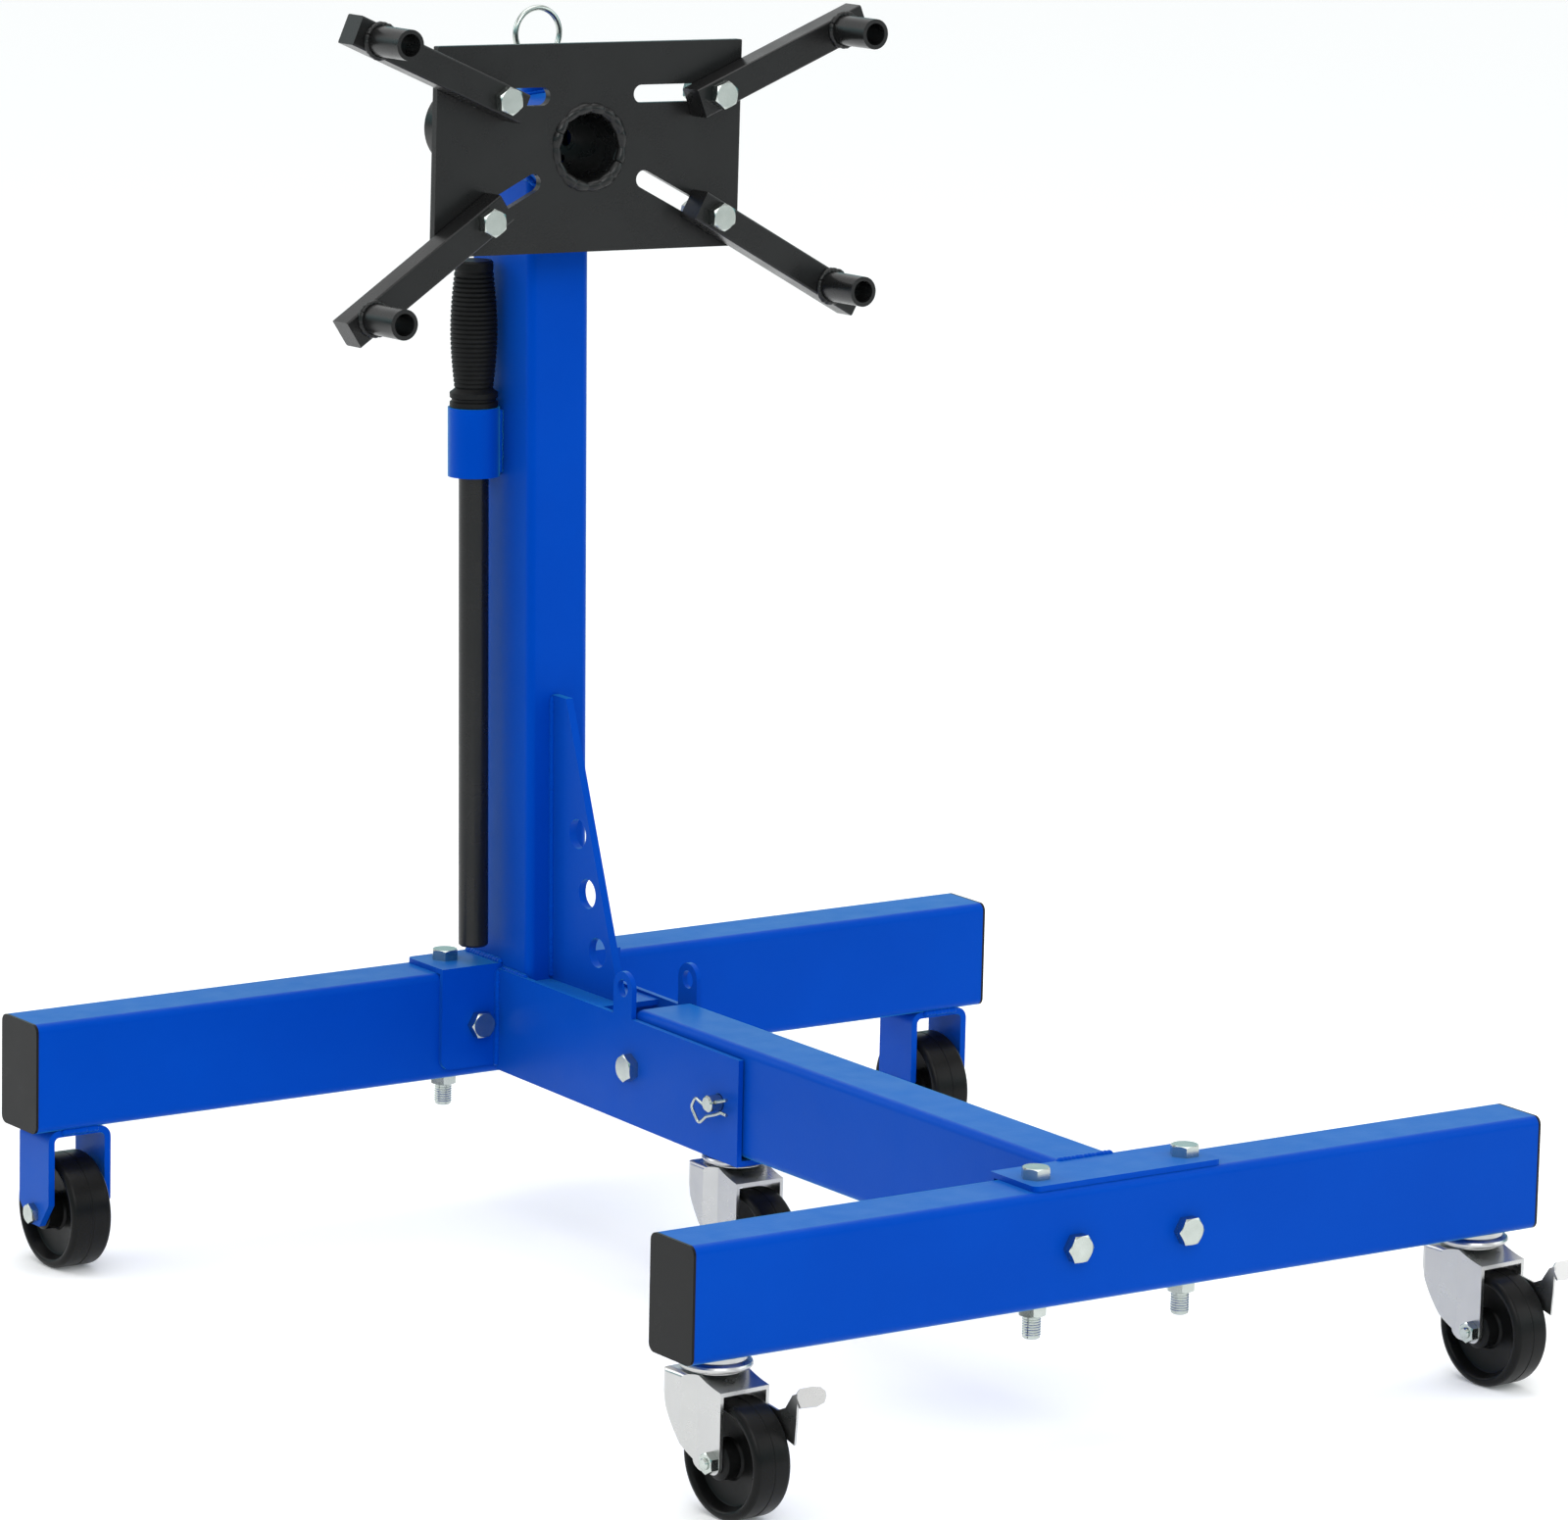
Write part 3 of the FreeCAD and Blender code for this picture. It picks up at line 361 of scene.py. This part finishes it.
def base_welds():
    lip, edge = PLATE_TOP, POST_HALF + 0.6
    weld("post_foot_weld", "base", "blue_paint",
         placed(STAND, [(-edge, -29, lip), (-edge, 16.6, lip), (edge, 16.6, lip), (edge, -29, lip)]), 3.0)
    for side, word in ((-1, "left"), (1, "right")):
        weld("channel_top_weld_" + word, "base", "blue_paint",
             placed(STAND, [(side * 27.0, -30, TUBE_TOP - 0.3), (side * 27.0, -64, TUBE_TOP - 0.8)]), 2.2)
        weld("channel_end_weld_" + word, "base", "blue_paint",
             placed(STAND, [(side * 30.4, CHANNEL_WELD_Y, 112),
                            (side * 30.4, CHANNEL_WELD_Y, TUBE_TOP - 1)]), 2.4)
        weld("handle_sleeve_weld_" + word, "base", "blue_paint",
             placed(POST, [(-28.6, BAR_Y + side * 9.0, 367.5), (-28.6, BAR_Y + side * 9.0, 414.5)]), 2.6)
    for x, word in ((-6.4, "left"), (0.4, "right")):
        weld("gusset_weld_" + word, "base", "blue_paint",
             placed(POST, [(x, POST_FRONT - 0.4, -3), (x, POST_FRONT - 0.4, 206)]), 2.2)
    housing_welds()
    for side, word in ((-1, "left"), (1, "right")):
        for y, end in ((-21.4, "front"), (21.4, "back")):
            weld("fork_weld_%s_%s" % (word, end), "base", "blue_paint",
                 placed(STAND, [(side * FORK_X - 15, y, TUBE_BOTTOM - 1.2),
                                (side * FORK_X + 15, y, TUBE_BOTTOM - 1.2)]), 2.4)


def housing_welds():
    """Beads on the housing's round side: where the post's edges meet it, and round the boss."""
    saddle = []
    corners = [(-1, -1), (1, -1), (1, 1), (-1, 1)]
    for (ax, ay), (bx, by) in zip(corners, corners[1:] + corners[:1]):
        for step in range(24):
            share = step / 24
            x = (ax + (bx - ax) * share) * POST_HALF
            y = (ay + (by - ay) * share) * POST_REAR
            saddle.append((x, y, HEAD_HEIGHT - math.sqrt(HOUSING_RADIUS ** 2 - x * x)))
    weld("housing_saddle_weld", "base", "blue_paint", placed(POST, saddle), 3.2, closed=True)
    boss = [(x, across + INDEX_Y, HEAD_HEIGHT + math.sqrt(HOUSING_RADIUS ** 2 - x * x))
            for x, _, across in circle(BOSS_WELD_RADIUS, 0.0)]
    weld("boss_weld", "base", "blue_paint", placed(POST, boss), 2.0, closed=True)


def leg_weld():
    """Bead up one side of the leg's front end, across its top and down the other side."""
    low, high = PLATE_TOP - TUBE_HEIGHT + 6, TUBE_TOP + 3.6
    route = [(-LEG_HALF, low), (-LEG_HALF, high - 5), (-21, high), (21, high), (LEG_HALF, high - 5),
             (LEG_HALF, low)]
    weld("leg_end_weld", "front_leg", "blue_paint",
         placed(STAND, [(x, LEG_WELD_Y, z) for x, z in route]), 2.4)


def head_welds():
    weld("plate_front_weld", "head", "black_paint", placed(FACE, circle(28.2, 1.6)), 4.4, closed=True,
         pitch=11.0, lumps=0.22)
    weld("plate_back_weld", "head", "black_paint", placed(FACE, circle(31.2, 7.0)), 3.0, closed=True)


def arm_welds_and_threads():
    for name, (x, z, angle) in ARMS.items():
        arm = FACE @ Matrix.Translation((x, 0, z)) @ turned("Y", -angle)
        weld("sleeve_weld_" + name, "arm_" + name, "black_paint",
             placed(arm, circle(11.6, ARM_FRONT - 0.6, (ARM_REACH, 0.0), 40)), 2.3, closed=True, lumps=0.2)
        behind = arm @ Matrix.Translation((0, 16.3, 0)) @ turned("Z", 90)
        thread("arm_thread_" + name, "clamp_" + name, behind, 5.2)


def threads():
    down, back = turned("Y", 90), turned("Z", 90)
    for side, word in ((-1, "left"), (1, "right")):
        for x, y, body, end in ((62.0, FRONT_Y, "front_leg", "front"), (56.0, 3.0, "base", "rear")):
            place = STAND @ Matrix.Translation((side * x, y, TUBE_BOTTOM - NUT_HEIGHT)) @ down
            thread("upright_thread_%s_%s" % (end, word), body, place, 14.8)
        for x, y, body, end in ((46.0, -701.0, "front_leg", "front"), (45.5, 35.0, "base", "rear")):
            place = STAND @ Matrix.Translation((side * x, y, TUBE_MIDDLE)) @ back
            thread("level_thread_%s_%s" % (end, word), body, place, 3.6)


def wheels():
    for side, word in ((-1, "left"), (1, "right")):
        place = STAND @ Matrix.Translation((side * FORK_X, 0, REAR_WHEEL_RADIUS))
        wheel("rear_wheel_" + word, place, REAR_WHEEL_RADIUS, REAR_WHEEL_WIDTH, 20.0, 6.05)
    for word, (x, y, turn) in CASTERS.items():
        place = (STAND @ Matrix.Translation((x, y, 0)) @ turned("Z", turn)
                 @ Matrix.Translation((0, -CASTER_TRAIL, WHEEL_RADIUS)))
        wheel("swivel_wheel_" + word, place, WHEEL_RADIUS, WHEEL_WIDTH, 16.8, 4.05)


# Millimetres by which the edges of the CAD nodes are rounded, by material slot.
BEVEL_WIDTH = {"blue_paint": 0.9, "black_paint": 0.7, "zinc_plate": 0.35, "pressed_steel": 0.5,
               "black_plastic": 0.8, "grip_rubber": 0.25}


def finish_cad_nodes():
    for name, node in NODES.items():
        node.data.materials.clear()
        node.data.materials.append(MATERIALS[SLOT_OF[name]])
        soften = node.modifiers.new("edge_round", "BEVEL")
        soften.width = BEVEL_WIDTH[SLOT_OF[name]] * MM
        soften.segments = 2
        soften.limit_method = "ANGLE"
        soften.angle_limit = math.radians(35)
        soften.harden_normals = True


# ---------------------------------------------------------------- stage, light and camera
def pale_floor():
    half = 15.0
    floor_mesh = bpy.data.meshes.new("floor")
    floor_mesh.from_pydata([(-half, -half, 0), (half, -half, 0), (half, half, 0), (-half, half, 0)],
                           [], [(0, 1, 2, 3)])
    floor = bpy.data.objects.new("floor", floor_mesh)
    bpy.context.scene.collection.objects.link(floor)
    material, _, shader = new_material("pale_floor")
    shader.inputs["Base Color"].default_value = (0.95, 0.95, 0.95, 1.0)
    shader.inputs["Roughness"].default_value = 0.9
    shader.inputs["Specular IOR Level"].default_value = 0.0
    shader.inputs["Emission Color"].default_value = (1.0, 1.0, 1.0, 1.0)
    shader.inputs["Emission Strength"].default_value = 0.12
    floor_mesh.materials.append(material)


def studio_world():
    """White to the camera, and bright panels with dark gaps for the metal to reflect."""
    world = bpy.data.worlds.new("studio")
    bpy.context.scene.world = world
    world.use_nodes = True
    tree = world.node_tree
    plain = tree.nodes["Background"]
    plain.inputs["Color"].default_value = (1.0, 1.0, 1.0, 1.0)
    plain.inputs["Strength"].default_value = 1.0
    coords = tree.nodes.new("ShaderNodeTexCoord")
    split = tree.nodes.new("ShaderNodeSeparateXYZ")
    tree.links.new(coords.outputs["Generated"], split.inputs["Vector"])
    bands = tree.nodes.new("ShaderNodeValToRGB")
    stops = bands.color_ramp.elements
    stops[0].position, stops[0].color = 0.0, (0.55, 0.55, 0.55, 1.0)
    stops[1].position, stops[1].color = 1.0, (1.0, 1.0, 1.0, 1.0)
    for position, colour in ((0.46, (0.50, 0.50, 0.50)), (0.52, (0.16, 0.26, 0.28)),
                             (0.61, (0.20, 0.62, 0.66)), (0.66, (1.15, 1.15, 1.15)),
                             (0.76, (1.15, 1.15, 1.15)), (0.81, (0.30, 0.30, 0.30)),
                             (0.88, (1.0, 1.0, 1.0))):
        stops.new(position).color = (*colour, 1.0)
    rise = ramp(tree, split.outputs["Z"], -1.0, 1.0, 0.0, 1.0)
    tree.links.new(rise, bands.inputs["Fac"])
    banded = tree.nodes.new("ShaderNodeBackground")
    banded.inputs["Strength"].default_value = 1.0
    tree.links.new(bands.outputs["Color"], banded.inputs["Color"])
    rays = tree.nodes.new("ShaderNodeLightPath")
    choose = tree.nodes.new("ShaderNodeMixShader")
    tree.links.new(rays.outputs["Is Camera Ray"], choose.inputs["Fac"])
    tree.links.new(banded.outputs["Background"], choose.inputs[1])
    tree.links.new(plain.outputs["Background"], choose.inputs[2])
    tree.links.new(choose.outputs["Shader"], tree.nodes["World Output"].inputs["Surface"])
    bpy.context.scene.view_settings.view_transform = "Standard"


def soft_lights():
    """Square area lights, all aimed at the middle of the stand: place, power and size."""
    lights = [("key", (-1.2, -3.4, 3.2), 60.0, 2.4), ("fill", (3.2, -2.4, 1.8), 22.0, 2.4),
              ("top", (0.3, 0.4, 3.6), 45.0, 3.0), ("rim", (-2.6, 2.4, 2.0), 18.0, 1.6)]
    middle = Vector((0.0, 0.0, 0.45))
    for name, place, power, width in lights:
        data = bpy.data.lights.new(name, "AREA")
        data.shape = "SQUARE"
        data.size = width
        data.energy = power
        lamp = bpy.data.objects.new(name, data)
        lamp.location = place
        lamp.rotation_euler = (middle - Vector(place)).to_track_quat("-Z", "Y").to_euler()
        bpy.context.scene.collection.objects.link(lamp)


def camera():
    """Long lens from the front left, a little above the head plate's height."""
    azimuth, elevation, roll = (math.radians(a) for a in (-34.7052, 11.4226, 1.2538))
    back = Vector((math.sin(azimuth) * math.cos(elevation), -math.cos(azimuth) * math.cos(elevation),
                   math.sin(elevation)))
    right = (-back).cross(Vector((0, 0, 1))).normalized()
    up = right.cross(-back)
    axis_x = right * math.cos(roll) + up * math.sin(roll)
    axis_y = up * math.cos(roll) - right * math.sin(roll)
    data = bpy.data.cameras.new("camera")
    data.sensor_width = 36.0
    data.lens = 186.95
    data.shift_x = 0.01255
    data.shift_y = 0.00092
    data.clip_end = 100.0
    eye = bpy.data.objects.new("camera", data)
    eye.matrix_world = Matrix((axis_x, axis_y, back)).transposed().to_4x4()
    eye.location = (-3.1970, -4.580245, 1.5249)
    bpy.context.scene.collection.objects.link(eye)
    bpy.context.scene.camera = eye


finish_cad_nodes()
wheels()
base_welds()
leg_weld()
head_welds()
arm_welds_and_threads()
threads()
pale_floor()
studio_world()
soft_lights()
camera()
